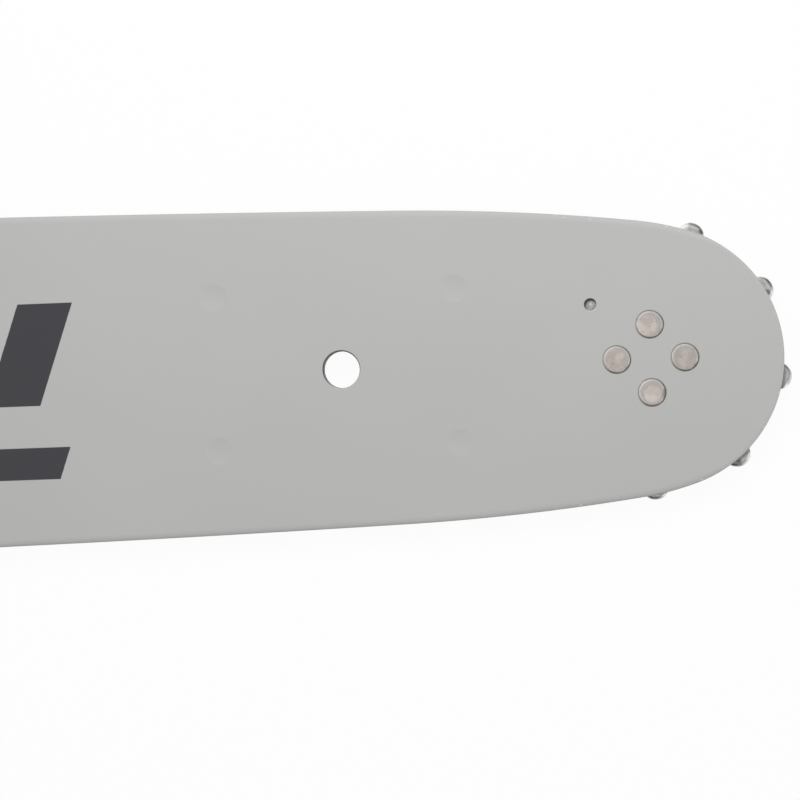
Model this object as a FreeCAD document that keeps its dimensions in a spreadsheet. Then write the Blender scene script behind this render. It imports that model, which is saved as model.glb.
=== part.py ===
"""Chainsaw guide bar with a sprocket nose: three steel plates, a nine-tooth wheel and its needle bearing.

The bar lies flat. +X runs along its axis towards the nose, +Z out of the upper face, and the origin is the
middle of the stud slot on the lower face, where the saw clamps the bar. Lengths are in millimetres and
angles in degrees.
"""
import FreeCAD, Part
import math
import operator
import os

import Sketcher

SIZES = {
    # Reach of the bar from the middle of the stud slot, to the nose centre and to the tail's end
    "nose_reach": 330.0,
    "tail_reach": 55.0,
    # Rails: tangent arcs from the nose back, and how far each still leans from the axis at its end
    "nose_radius": 22.65,
    "nose_taper": 18.75,
    "shoulder_radius": 48.6,
    "flank_taper": 7.53,
    "flank_radius": 396.0,
    "belly_taper": 1.65,
    "belly_radius": 5190.0,
    # Tail, with the lead-in where the chain enters the groove
    "lead_in_length": 30.0,
    "lead_in_slope": 18.0,
    "lead_in_radius": 25.0,
    "tail_corner": 10.0,
    "core_corner": 3.0,
    # Outer plates, and the chain groove that the core plate leaves between them
    "side_thickness": 1.4,
    "edge_bevel": 0.25,
    "groove_width": 1.3,
    "groove_depth": 6.0,
    # Slot for the saw's bar studs, and the holes beside it, from the middle of the slot
    "slot_width": 8.2,
    "slot_length": 70.0,
    "adjuster_radius": 3.2,
    "adjuster_reach": 19.0,
    "adjuster_offset": 13.5,
    "oil_radius": 1.5,
    "oil_reach": 14.0,
    "oil_offset": 18.0,
    # Hole to hang the bar by, and the grease hole over the sprocket's web, from the nose centre
    "hang_radius": 3.15,
    "hang_bevel": 0.15,
    "hang_back": 52.9,
    "grease_radius": 1.03,
    "grease_back": 9.95,
    "grease_up": 9.5,
    # Nose rivets, flush with both faces
    "rivet_count": 4,
    "rivet_ring": 5.8,
    "rivet_radius": 2.0,
    "rivet_flare": 0.385,
    "rivet_play": 0.02,
    # Needle bearing in the nose
    "race_wall": 1.2,
    "roller_diameter": 3.0,
    "roller_gap": 0.05,
    "roller_play": 0.03,
    "roller_end_play": 0.05,
    # Nose sprocket
    "tooth_count": 9,
    "tooth_phase": -10.0,
    "tooth_rise": 1.55,
    "tip_radius": 2.3,
    "gullet_depth": 5.95,
    "sprocket_play": 0.06,
    "rim_bevel": 0.3,
    "core_gap": 0.8,
}

# Numbers of a curve's points in a sketch, and of the sketch's own origin and first axis
START = 1
END = 2
CENTRE = 3
ORIGIN = (-1, 1)
X_AXIS = -1
CLOSE = 1e-6

document = FreeCAD.newDocument("GuideBar")


class Measure:
    """A size worked out from the sheet: its value, and the expression that keeps it up to date."""

    def __init__(self, value, text):
        self.value = float(value)
        self.text = text

    def __float__(self):
        return self.value

    def __add__(self, other):
        return combine(self, "+", other)

    def __radd__(self, other):
        return combine(other, "+", self)

    def __sub__(self, other):
        return combine(self, "-", other)

    def __rsub__(self, other):
        return combine(other, "-", self)

    def __mul__(self, other):
        return combine(self, "*", other)

    def __rmul__(self, other):
        return combine(other, "*", self)

    def __truediv__(self, other):
        return combine(self, "/", other)

    def __rtruediv__(self, other):
        return combine(other, "/", self)

    def __neg__(self):
        return combine(0, "-", self)


def combine(left, sign, right):
    """Measure of two measures or plain numbers joined by an operator."""
    work = {"+": operator.add, "-": operator.sub, "*": operator.mul, "/": operator.truediv}[sign]
    left, right = (
        item if isinstance(item, Measure) else Measure(item, str(item)) for item in (left, right)
    )
    return Measure(work(left.value, right.value), f"({left.text} {sign} {right.text})")


def size(name):
    """One driving dimension, by its name in the sheet."""
    return Measure(SIZES[name], f"Sizes.{name}")


def polar(radius, angle):
    """X and Y of the point at a radius and an angle."""
    turn = Measure(0, "0") + angle
    cosine = Measure(math.cos(math.radians(turn.value)), f"cos({turn.text} * 1 deg)")
    sine = Measure(math.sin(math.radians(turn.value)), f"sin({turn.text} * 1 deg)")
    return radius * cosine, radius * sine


def make_sheet():
    """Put each driving dimension in a cell of its own, with its name beside it and as its alias."""
    sheet = document.addObject("Spreadsheet::Sheet", "Sizes")
    for row, (name, value) in enumerate(SIZES.items(), start=1):
        sheet.set(f"A{row}", name)
        sheet.set(f"B{row}", str(value))
        sheet.setAlias(f"B{row}", name)
    document.recompute()


def drive(item, setting, measure):
    """Bind one setting of an object to the sheet."""
    item.setExpression(setting, measure.text)


def new_body(label):
    body = document.addObject("PartDesign::Body", label)
    body.Label = label
    return body


def own_plane(body, role):
    """One of the body's own origin planes or axes."""
    return next(item for item in body.Origin.OriginFeatures if item.Role == role)


def new_sketch(body, name, plane="XY_Plane", along=None):
    """Sketch on one of the body's own planes, moved along the bar if asked."""
    sketch = body.newObject("Sketcher::SketchObject", f"{body.Label}_{name}")
    sketch.AttachmentSupport = [(own_plane(body, plane), "")]
    sketch.MapMode = "FlatFace"
    if along:
        drive(sketch, "AttachmentOffset.Base.x", along)
    return sketch


def tie(sketch, kind, *where):
    """Constraint with no value."""
    sketch.addConstraint(Sketcher.Constraint(kind, *where))


def set_length(sketch, kind, *where, to):
    """Length constraint, bound to the sheet."""
    index = sketch.addConstraint(Sketcher.Constraint(kind, *where, float(to)))
    drive(sketch, f"Constraints[{index}]", to)


def set_sweep(sketch, curve, angle):
    """Angle that an arc sweeps, bound to the sheet."""
    index = sketch.addConstraint(Sketcher.Constraint("Angle", curve, math.radians(float(angle))))
    sketch.setExpression(f"Constraints[{index}]", f"{angle.text} * 1 deg")


def set_place(sketch, curve, point, x, y):
    """Hold a point of a curve at a place, bound to the sheet."""
    set_length(sketch, "DistanceX", *ORIGIN, curve, point, to=Measure(0, "0") + x)
    set_length(sketch, "DistanceY", *ORIGIN, curve, point, to=Measure(0, "0") + y)


def add_line(sketch, start, end):
    ends = [FreeCAD.Vector(float(x), float(y), 0) for x, y in (start, end)]
    return sketch.addGeometry(Part.LineSegment(*ends))


def add_arc(sketch, centre, radius, first, last):
    """Arc drawn anticlockwise from one angle to the other."""
    middle = FreeCAD.Vector(float(centre[0]), float(centre[1]), 0)
    circle = Part.Circle(middle, FreeCAD.Vector(0, 0, 1), float(radius))
    return sketch.addGeometry(
        Part.ArcOfCircle(circle, math.radians(float(first)), math.radians(float(last)))
    )


def add_circle(sketch, x, y, radius):
    """Circle held at a place."""
    middle = FreeCAD.Vector(float(x), float(y), 0)
    curve = sketch.addGeometry(Part.Circle(middle, FreeCAD.Vector(0, 0, 1), float(radius)))
    set_length(sketch, "Radius", curve, to=radius)
    set_place(sketch, curve, CENTRE, x, y)


def add_polygon(sketch, corners):
    """Closed outline of straight lines, with each corner held at its place."""
    around = list(zip(corners, corners[1:] + corners[:1]))
    lines = [add_line(sketch, start, end) for start, end in around]
    for before, after in zip(lines, lines[1:] + lines[:1]):
        tie(sketch, "Coincident", before, END, after, START)
    for curve, (x, y) in zip(lines, corners):
        set_place(sketch, curve, START, x, y)
    return lines


def pad(body, sketch, thickness):
    feature = body.newObject("PartDesign::Pad", f"{body.Label}_pad")
    feature.Profile = sketch
    drive(feature, "Length", thickness)
    document.recompute()
    return feature


def cut_through(body, sketch):
    """Pocket a sketch through the whole body, both ways from its plane."""
    pocket = body.newObject("PartDesign::Pocket", f"{sketch.Label}_cut")
    pocket.Profile = sketch
    pocket.Type = "ThroughAll"
    pocket.Midplane = True
    body.Tip = pocket
    document.recompute()


def flat_face(shape, height):
    """The largest flat face of a shape at a height."""
    level = [
        face for face in shape.Faces
        if abs(face.BoundBox.ZMin - height) < CLOSE and abs(face.BoundBox.ZMax - height) < CLOSE
    ]
    return max(level, key=lambda face: face.Area)


def bevel_edges(body, name, wanted, width):
    """Bevel the edges of the body's last feature that match the wanted ones."""
    base = body.Tip
    names = [
        f"Edge{number}" for number, edge in enumerate(base.Shape.Edges, start=1)
        if any(edge.isSame(one) for one in wanted)
    ]
    bevel = body.newObject("PartDesign::Chamfer", f"{body.Label}_{name}")
    bevel.Base = (base, names)
    drive(bevel, "Size", width)
    body.Tip = bevel
    document.recompute()


def outline_arcs(inset):
    """Arcs of the upper rail from the nose back to the lead-in: centre, radius, first and last angle."""
    steps = (
        ("shoulder_radius", 90 - size("nose_taper")),
        ("flank_radius", 90 - size("flank_taper")),
        ("belly_radius", 90 - size("belly_taper")),
    )
    x, y, radius, angle = float(size("nose_reach")), 0.0, float(size("nose_radius")), 0.0
    arcs = []
    for next_name, joint in steps:
        arcs.append(((x, y), radius - inset, angle, float(joint)))
        next_radius = float(size(next_name))
        shift_x, shift_y = polar(radius - next_radius, joint)
        x, y = x + float(shift_x), y + float(shift_y)
        radius, angle = next_radius, float(joint)
    lead_in_start = float(size("lead_in_length") - size("tail_reach"))
    joint = math.degrees(math.acos((lead_in_start - x) / (radius - inset)))
    arcs.append(((x, y), radius - inset, angle, joint))
    lead_in_radius = float(size("lead_in_radius"))
    shift_x, shift_y = polar(radius - lead_in_radius, joint)
    centre = (x + float(shift_x), y + float(shift_y))
    arcs.append((centre, lead_in_radius - inset, joint, float(90 + size("lead_in_slope"))))
    return arcs


def draw_half_outline(sketch, inset, corner):
    """Upper half of the bar's outline, set in from the rails, closed along the bar's axis."""
    arcs = outline_arcs(float(inset))
    nose, shoulder, flank, belly, lead_in = (add_arc(sketch, *values) for values in arcs)
    (lead_x, lead_y), lead_radius, _, slope = arcs[-1]
    out_x, out_y = (float(part) for part in polar(1, slope))
    tail = -float(size("tail_reach"))
    corner_x = tail + float(corner)
    reach = lead_radius - float(corner)
    corner_y = lead_y + (reach - (corner_x - lead_x) * out_x) / out_y
    slant_start = (lead_x + lead_radius * out_x, lead_y + lead_radius * out_y)
    slant_end = (corner_x + float(corner) * out_x, corner_y + float(corner) * out_y)
    slant = add_line(sketch, slant_start, slant_end)
    tail_corner = add_arc(sketch, (corner_x, corner_y), corner, slope, 180)
    tail_end = add_line(sketch, (tail, corner_y), (tail, 0))
    nose_tip = float(size("nose_reach") + size("nose_radius") - inset)
    axis = add_line(sketch, (tail, 0), (nose_tip, 0))

    smooth = (nose, shoulder, flank, belly, lead_in, slant, tail_corner, tail_end)
    for before, after in zip(smooth, smooth[1:]):
        tie(sketch, "Tangent", before, END, after, START)
    tie(sketch, "Coincident", tail_end, END, axis, START)
    tie(sketch, "Coincident", axis, END, nose, START)
    tie(sketch, "PointOnObject", nose, CENTRE, X_AXIS)
    tie(sketch, "PointOnObject", nose, START, X_AXIS)
    tie(sketch, "PointOnObject", tail_end, END, X_AXIS)
    tie(sketch, "Vertical", tail_end)
    set_length(sketch, "Radius", nose, to=size("nose_radius") - inset)
    set_length(sketch, "Radius", shoulder, to=size("shoulder_radius") - inset)
    set_length(sketch, "Radius", flank, to=size("flank_radius") - inset)
    set_length(sketch, "Radius", belly, to=size("belly_radius") - inset)
    set_length(sketch, "Radius", lead_in, to=size("lead_in_radius") - inset)
    set_length(sketch, "Radius", tail_corner, to=corner)
    set_sweep(sketch, nose, 90 - size("nose_taper"))
    set_sweep(sketch, shoulder, size("nose_taper") - size("flank_taper"))
    set_sweep(sketch, flank, size("flank_taper") - size("belly_taper"))
    set_sweep(sketch, tail_corner, 90 - size("lead_in_slope"))
    set_length(sketch, "DistanceX", *ORIGIN, nose, CENTRE, to=size("nose_reach"))
    set_length(sketch, "DistanceX", tail_end, END, *ORIGIN, to=size("tail_reach"))
    set_length(sketch, "DistanceX", tail_end, END, belly, END, to=size("lead_in_length"))


def make_plate_blank(body, thickness, inset, corner):
    """Pad the upper half of the outline and mirror it about the bar's axis."""
    outline = new_sketch(body, "outline")
    draw_half_outline(outline, inset, corner)
    half = pad(body, outline, thickness)
    whole = body.newObject("PartDesign::Mirrored", f"{body.Label}_whole")
    whole.Originals = [half]
    whole.MirrorPlane = (own_plane(body, "XZ_Plane"), [""])
    whole.Refine = True
    body.Tip = whole
    document.recompute()


def cut_stud_slot(body):
    """Slot for the saw's bar studs, centred on the origin."""
    sketch = new_sketch(body, "stud_slot")
    radius = size("slot_width") / 2
    reach = (size("slot_length") - size("slot_width")) / 2
    front = add_arc(sketch, (reach, 0), radius, -90, 90)
    top = add_line(sketch, (reach, radius), (-reach, radius))
    back = add_arc(sketch, (-reach, 0), radius, 90, 270)
    bottom = add_line(sketch, (-reach, -radius), (reach, -radius))
    for before, after in ((front, top), (top, back), (back, bottom), (bottom, front)):
        tie(sketch, "Tangent", before, END, after, START)
    tie(sketch, "Equal", front, back)
    tie(sketch, "PointOnObject", front, CENTRE, X_AXIS)
    tie(sketch, "Symmetric", front, CENTRE, back, CENTRE, *ORIGIN)
    set_length(sketch, "Radius", front, to=radius)
    set_length(sketch, "DistanceX", *ORIGIN, front, CENTRE, to=reach)
    cut_through(body, sketch)


def cut_adjuster_holes(body):
    """Holes for the chain adjuster's pin: one is used with each way up of the bar."""
    sketch = new_sketch(body, "adjuster_holes")
    for side in (1, -1):
        offset = side * size("adjuster_offset")
        add_circle(sketch, size("adjuster_reach"), offset, size("adjuster_radius"))
    cut_through(body, sketch)


def cut_oil_holes(body):
    """Holes that take the saw's oil: one is used with each way up of the bar."""
    sketch = new_sketch(body, "oil_holes")
    for side in (1, -1):
        add_circle(sketch, -size("oil_reach"), side * size("oil_offset"), size("oil_radius"))
    cut_through(body, sketch)


def cut_oil_channels(body):
    """Channels, open at the rail, that lead the oil from its holes out into the groove."""
    sketch = new_sketch(body, "oil_channels")
    radius = size("oil_radius")
    for side in (1, -1):
        near = side * size("oil_offset")
        far = side * (size("oil_offset") + size("groove_depth"))
        leading = -size("oil_reach") + side * radius
        trailing = -size("oil_reach") - side * radius
        first = 180 if side > 0 else 0
        end = add_arc(sketch, (-size("oil_reach"), near), radius, first, first + 180)
        out = add_line(sketch, (leading, near), (leading, far))
        mouth = add_line(sketch, (leading, far), (trailing, far))
        back = add_line(sketch, (trailing, far), (trailing, near))
        tie(sketch, "Tangent", end, END, out, START)
        tie(sketch, "Coincident", out, END, mouth, START)
        tie(sketch, "Coincident", mouth, END, back, START)
        tie(sketch, "Tangent", back, END, end, START)
        tie(sketch, "Vertical", out)
        tie(sketch, "Vertical", back)
        tie(sketch, "Horizontal", mouth)
        set_length(sketch, "Radius", end, to=radius)
        set_place(sketch, end, CENTRE, -size("oil_reach"), near)
        set_length(sketch, "DistanceY", *ORIGIN, mouth, START, to=far)
    cut_through(body, sketch)


def cut_hang_hole(body):
    """Hole on the bar's axis to hang it by."""
    sketch = new_sketch(body, "hang_hole", along=size("nose_reach"))
    add_circle(sketch, -size("hang_back"), 0, size("hang_radius"))
    cut_through(body, sketch)


def cut_grease_hole(body):
    """Hole over the sprocket's web, for a grease gun's tip."""
    sketch = new_sketch(body, "grease_hole", along=size("nose_reach"))
    add_circle(sketch, -size("grease_back"), size("grease_up"), size("grease_radius"))
    cut_through(body, sketch)


def rivet_profile(height, play):
    """Half section of a rivet's swaged end, or of its seat with some play: a 45 degree cone to the face."""
    shank = size("rivet_radius") + play
    return [(shank, height - size("rivet_flare")), (shank + size("rivet_flare"), height)]


def cut_rivet_seats(body, thickness):
    """Rivet holes of an outer plate, wider at its outer face to take the swaged heads."""
    sketch = new_sketch(body, "rivet_seat", plane="XZ_Plane", along=size("nose_reach"))
    ring = size("rivet_ring")
    wall = [(ring + radius, up) for radius, up in rivet_profile(thickness, size("rivet_play"))]
    corners = [(ring, 0), (wall[0][0], 0), *wall, (ring, thickness)]
    add_polygon(sketch, corners)
    centre_line = add_line(sketch, (ring, 0), (ring, thickness))
    sketch.setConstruction(centre_line, True)
    set_place(sketch, centre_line, START, ring, 0)
    set_place(sketch, centre_line, END, ring, thickness)
    seat = body.newObject("PartDesign::Groove", f"{body.Label}_seat")
    seat.Profile = sketch
    seat.ReferenceAxis = (sketch, ["Axis0"])
    seat.Angle = 360
    document.recompute()
    repeat_round_nose(body, sketch, "V_Axis", seat, size("rivet_count"))


def repeat_round_nose(body, sketch, axis, feature, count):
    """Repeat a feature evenly about an axis of a sketch that lies on the nose centre."""
    pattern = body.newObject("PartDesign::PolarPattern", f"{feature.Label}_pattern")
    pattern.Originals = [feature]
    pattern.Axis = (sketch, [axis])
    pattern.Angle = 360
    drive(pattern, "Occurrences", count)
    pattern.Refine = True
    body.Tip = pattern
    document.recompute()


def make_side_plate(label):
    """Outer plate with all the holes, seats for the nose rivets and a bevelled outer edge."""
    body = new_body(label)
    thickness = size("side_thickness")
    make_plate_blank(body, thickness, Measure(0, "0"), size("tail_corner"))
    cut_stud_slot(body)
    cut_adjuster_holes(body)
    cut_oil_holes(body)
    cut_hang_hole(body)
    cut_grease_hole(body)
    cut_rivet_seats(body, thickness)
    rim = flat_face(body.Tip.Shape, float(thickness)).OuterWire
    bevel_edges(body, "edge", rim.Edges, size("edge_bevel"))
    hang_x = float(size("nose_reach") - size("hang_back"))
    mouths = [
        edge for edge in flat_face(body.Tip.Shape, float(thickness)).Edges
        if isinstance(edge.Curve, Part.Circle)
        and math.hypot(edge.Curve.Center.x - hang_x, edge.Curve.Center.y) < CLOSE
    ]
    bevel_edges(body, "hang_mouth", mouths, size("hang_bevel"))
    drive(body, "Placement.Base.z", thickness + size("groove_width"))
    return body


def make_mirror_plate(source, label):
    """The other outer plate: the mirror of the first about the bar's middle plane."""
    plate = document.addObject("Part::Mirroring", label)
    plate.Label = label
    plate.Source = source
    plate.Normal = FreeCAD.Vector(0, 0, 1)
    drive(plate, "Base.z", size("side_thickness") + size("groove_width") / 2)
    return plate


def make_core_plate(label):
    """Middle plate: set in from the rails by the groove's depth, hollowed round the sprocket."""
    body = new_body(label)
    make_plate_blank(body, size("groove_width"), size("groove_depth"), size("core_corner"))
    hollow = new_sketch(body, "hollow", along=size("nose_reach"))
    add_circle(hollow, 0, 0, size("nose_radius") + size("tooth_rise") + size("core_gap"))
    cut_through(body, hollow)
    cut_stud_slot(body)
    cut_adjuster_holes(body)
    cut_oil_channels(body)
    cut_hang_hole(body)
    drive(body, "Placement.Base.z", size("side_thickness"))
    return body


def race_radius():
    return size("rivet_ring") + size("rivet_radius") + size("race_wall")


def make_bearing_race(label):
    """Inner ring of the nose bearing, held between the outer plates by the rivets."""
    body = new_body(label)
    ring = new_sketch(body, "ring")
    add_circle(ring, 0, 0, race_radius())
    pad(body, ring, size("groove_width"))
    hole = new_sketch(body, "rivet_hole")
    add_circle(hole, size("rivet_ring"), 0, size("rivet_radius") + size("rivet_play"))
    cut_through(body, hole)
    repeat_round_nose(body, hole, "N_Axis", body.Tip, size("rivet_count"))
    drive(body, "Placement.Base.x", size("nose_reach"))
    drive(body, "Placement.Base.z", size("side_thickness"))
    return body


def gullet_radius(ring, tip, root, half_pitch):
    """Radius of the round between two teeth that runs smoothly into both tips and touches the root."""
    cosine = polar(1, half_pitch)[0]
    over = ring * ring + root * root - 2 * ring * root * cosine - tip * tip
    return over / (2 * (ring * cosine + tip - root))


def draw_tooth(sketch):
    """One tooth crown and the gullet after it, closed through the hub along both teeth's middles."""
    pitch = 360 / size("tooth_count")
    tip = size("tip_radius")
    ring = size("nose_radius") + size("tooth_rise") - tip
    root = size("nose_radius") - size("gullet_depth")
    gullet = gullet_radius(ring, tip, root, pitch / 2)
    gullet_x, gullet_y = polar(root + gullet, pitch / 2)
    share = tip / (tip + gullet)
    flank_x = ring + (gullet_x - ring) * share
    flank_y = gullet_y * share
    cosine, sine = polar(1, pitch)
    next_x = flank_x * cosine + flank_y * sine
    next_y = flank_x * sine - flank_y * cosine
    lean = math.degrees(math.atan2(float(flank_y), float(flank_x - ring)))
    last = math.degrees(math.atan2(float(next_y - gullet_y), float(next_x - gullet_x)))
    hub = (root, Measure(0, "0"))
    next_hub = polar(root, pitch)

    spoke = add_line(sketch, (0, 0), hub)
    right_side = add_line(sketch, hub, (flank_x, -flank_y))
    crown = add_arc(sketch, (ring, 0), tip, -lean, lean)
    hollow = add_arc(sketch, (gullet_x, gullet_y), gullet, last, 180 + lean)
    left_side = add_line(sketch, (next_x, next_y), next_hub)
    next_spoke = add_line(sketch, next_hub, (0, 0))
    tie(sketch, "Coincident", spoke, START, *ORIGIN)
    tie(sketch, "Coincident", spoke, END, right_side, START)
    tie(sketch, "Coincident", right_side, END, crown, START)
    tie(sketch, "Tangent", crown, END, hollow, END)
    tie(sketch, "Coincident", hollow, START, left_side, START)
    tie(sketch, "Coincident", left_side, END, next_spoke, START)
    tie(sketch, "Coincident", next_spoke, END, *ORIGIN)
    set_place(sketch, crown, CENTRE, ring, 0)
    set_place(sketch, spoke, END, *hub)
    set_place(sketch, right_side, END, flank_x, -flank_y)
    set_place(sketch, left_side, START, next_x, next_y)
    set_place(sketch, left_side, END, *next_hub)
    set_length(sketch, "Radius", hollow, to=gullet)


def make_nose_sprocket(label):
    """Nose wheel: round-tipped teeth with round gullets between them, on a bore for the rollers."""
    body = new_body(label)
    thickness = size("groove_width") - 2 * size("sprocket_play")
    tooth_sketch = new_sketch(body, "tooth")
    draw_tooth(tooth_sketch)
    tooth = pad(body, tooth_sketch, thickness)
    repeat_round_nose(body, tooth_sketch, "N_Axis", tooth, size("tooth_count"))
    bore = new_sketch(body, "bore")
    add_circle(bore, 0, 0, race_radius() + size("roller_diameter") + 2 * size("roller_play"))
    cut_through(body, bore)
    rims = [flat_face(body.Tip.Shape, level).OuterWire for level in (0, float(thickness))]
    bevel_edges(body, "rims", [edge for rim in rims for edge in rim.Edges], size("rim_bevel"))
    drive(body, "Placement.Base.x", size("nose_reach"))
    drive(body, "Placement.Base.z", size("side_thickness") + size("sprocket_play"))
    body.setExpression("Placement.Rotation.Angle", f"{size('tooth_phase').text} * 1 deg")
    return body


def make_rollers():
    """Full ring of needle rollers between the race and the sprocket's bore, evenly spread."""
    ring = race_radius() + size("roller_diameter") / 2 + size("roller_play")
    room = 2 * math.pi * float(ring)
    count = int(room / float(size("roller_diameter") + size("roller_gap")))
    rollers = []
    for number in range(count):
        label = f"roller_{number + 1:02d}"
        x, y = polar(ring, Measure(360 * number / count, f"360 * {number} / {count}"))
        roller = document.addObject("Part::Cylinder", label)
        roller.Label = label
        drive(roller, "Radius", size("roller_diameter") / 2)
        drive(roller, "Height", size("groove_width") - 2 * size("roller_end_play"))
        drive(roller, "Placement.Base.x", size("nose_reach") + x)
        drive(roller, "Placement.Base.y", y)
        drive(roller, "Placement.Base.z", size("side_thickness") + size("roller_end_play"))
        rollers.append(roller)
    return rollers


def make_rivet(number):
    """Rivet turned in one piece: a shank with both ends swaged out, flush with the bar's faces."""
    label = f"rivet_{number + 1}"
    body = new_body(label)
    height = 2 * size("side_thickness") + size("groove_width")
    upper = rivet_profile(height, 0)
    lower = [(radius, height - up) for radius, up in reversed(upper)]
    section = new_sketch(body, "section", plane="XZ_Plane")
    add_polygon(section, [(0, 0), *lower, *upper, (0, height)])
    turned = body.newObject("PartDesign::Revolution", f"{label}_turned")
    turned.Profile = section
    turned.ReferenceAxis = (section, ["V_Axis"])
    turned.Angle = 360
    document.recompute()
    x, y = polar(size("rivet_ring"), 360 * number / size("rivet_count"))
    drive(body, "Placement.Base.x", size("nose_reach") + x)
    drive(body, "Placement.Base.y", y)
    return body


def check_pieces(pieces):
    """Stop if an object of the document failed or a piece is not one valid solid."""
    document.recompute()
    for item in document.Objects:
        if "Invalid" in item.State or "Error" in item.State:
            raise RuntimeError(f"{item.Label} failed: {item.State}")
    for piece in pieces:
        shape = piece.Shape
        if shape.isNull() or not shape.isValid() or len(shape.Solids) != 1:
            raise RuntimeError(f"{piece.Label} is not one valid solid")


def export_pieces(pieces):
    os.makedirs("parts", exist_ok=True)
    for piece in pieces:
        piece.Shape.exportStep(f"parts/{piece.Label}.step")


make_sheet()
side_plate_upper = make_side_plate("side_plate_upper")
all_pieces = [
    side_plate_upper,
    make_mirror_plate(side_plate_upper, "side_plate_lower"),
    make_core_plate("core_plate"),
    make_bearing_race("bearing_race"),
    make_nose_sprocket("nose_sprocket"),
    *make_rollers(),
    *(make_rivet(number) for number in range(SIZES["rivet_count"])),
]
check_pieces(all_pieces)
export_pieces(all_pieces)
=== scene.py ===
"""Chainsaw guide bar with a sprocket nose, dressed round its CAD frame and set on a white table."""
import math

import bmesh
import bpy
from mathutils import Matrix, Vector


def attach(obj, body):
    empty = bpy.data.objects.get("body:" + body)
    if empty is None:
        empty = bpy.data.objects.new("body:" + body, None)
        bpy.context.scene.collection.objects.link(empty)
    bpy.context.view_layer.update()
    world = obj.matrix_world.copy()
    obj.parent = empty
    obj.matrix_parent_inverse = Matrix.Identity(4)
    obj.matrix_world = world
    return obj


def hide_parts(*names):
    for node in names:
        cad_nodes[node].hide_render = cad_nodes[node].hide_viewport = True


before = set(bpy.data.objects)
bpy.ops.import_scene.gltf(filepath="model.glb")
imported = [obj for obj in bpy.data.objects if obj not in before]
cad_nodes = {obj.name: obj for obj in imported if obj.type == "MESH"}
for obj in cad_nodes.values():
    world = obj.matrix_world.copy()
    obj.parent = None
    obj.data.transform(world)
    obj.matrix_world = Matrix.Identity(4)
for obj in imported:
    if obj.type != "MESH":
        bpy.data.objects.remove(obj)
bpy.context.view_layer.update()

# Side plates
# The two outer plates are stamped from 1.4 mm steel sheet and spot-welded to the core plate between
# them. Their outer rims are rounded and painted with the faces. The rails' edges are then ground
# to bare steel.

# Sizes are in millimetres, angles in degrees and colours in linear light
MM = 0.001
MERGE_DISTANCE = 0.001 * MM
PLACE_SLACK = 0.01
NOSE = Vector((330.0, 0.0))
NOSE_RADIUS = 22.65
BAR_HEIGHT = 4.1
PLATE_HEIGHT = 1.4
PLATE_FOOT = BAR_HEIGHT - PLATE_HEIGHT
TAIL_END = -55.0
LEAD_IN_START = -25.0
TAIL_CORNER = 10.0
RIM_WIDTH = 1.2
RIM_DROP = 0.43
RIM_STEPS = 9
# Share of the rim's rounding that is left round the nose, and the angle up to which it stays so
NOSE_RIM = 0.55
NOSE_RIM_TO = 55.0
# Tangent arcs of the rail after the nose's, each with its radius, the angle where it starts and
# its number of chords
RAIL_ARCS = ((48.6, 71.25, 12), (396.0, 82.47, 10), (5190.0, 88.35, 30))
NOSE_CHORDS = 72
NOSE_ARC_TO = RAIL_ARCS[0][1]
# Arc of the lead-in at the tail: its radius, the angle where it ends and its number of chords
LEAD_IN = (25.0, 108.0, 14)
CORNER_CHORDS = 16
SLOT_RADIUS = 4.1
SLOT_REACH = 30.9
SLOT_CHORDS = 40
# Round holes, each with its place and its radius
HANG_HOLE = (277.1, 0.0, 3.15)
GREASE_HOLE = (320.05, 9.5, 1.03)
ADJUSTER_HOLES = ((19.0, 13.5, 3.2), (19.0, -13.5, 3.2))
OIL_HOLES = ((-14.0, 18.0, 1.5), (-14.0, -18.0, 1.5))
ROUND_HOLES = (HANG_HOLE, GREASE_HOLE, *ADJUSTER_HOLES, *OIL_HOLES)
LEAST_HOLE_SIDES = 32
HOLE_SIDES_PER_MM = 28
RIVET_RING = 5.8
# Each rivet's seat flares at 45 degrees by this much, over a shank of this radius
RIVET_FLARE = 0.385
SEAT_SHANK = 2.02
MOUTH_ROUND = 0.12
HANG_ROUND = 0.26
MOUTH_STEPS = 4
SLOT_MOUTH_STEPS = 3
# Two rows of spot welds, in columns from the nose back
WELD_COLUMNS = 7
WELD_PITCH = 41.5
WELD_START = 297.0
WELD_OFFSET = 13.2
WELD_RADIUS = 2.6
WELD_DEPTH = 0.2
WELD_RINGS = 5
WELD_SIDES = 40
CUT_MARGIN = 0.4
SMOOTH_UP_TO = 35.0


def polar(radius, degrees):
    """Vector of a length at an angle."""
    return radius * Vector((math.cos(math.radians(degrees)), math.sin(math.radians(degrees))))


RIVET_PLACES = tuple(NOSE + polar(RIVET_RING, turn) for turn in (0, 90, 180, 270))


def start_outline(name, place, height):
    """New piece in edit mode with one selected point, where its outline starts."""
    bpy.ops.object.select_all(action="DESELECT")
    bpy.ops.mesh.primitive_plane_add(size=MM)
    piece = bpy.context.object
    piece.name = name
    bpy.ops.object.mode_set(mode="EDIT")
    bpy.ops.mesh.select_mode(type="VERT")
    bpy.ops.mesh.merge(type="CENTER")
    bpy.ops.transform.translate(value=(place[0] * MM, place[1] * MM, height * MM))
    return piece


def draw_arc(centre, degrees, chords):
    """Carry the outline on along an arc about a centre. Spin turns clockwise about +Z."""
    bpy.ops.mesh.spin(steps=chords, angle=math.radians(-degrees), axis=(0, 0, 1),
                      center=(centre[0] * MM, centre[1] * MM, 0))


def draw_line(x, y, up=0.0):
    """Carry the outline on straight by a step."""
    bpy.ops.mesh.extrude_region_move(TRANSFORM_OT_translate={"value": (x * MM, y * MM, up * MM)})


def close_outline():
    """Join the outline's ends and fill it with one face."""
    bpy.ops.mesh.select_all(action="SELECT")
    bpy.ops.mesh.remove_doubles(threshold=MERGE_DISTANCE)
    bpy.ops.mesh.edge_face_add()


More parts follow.
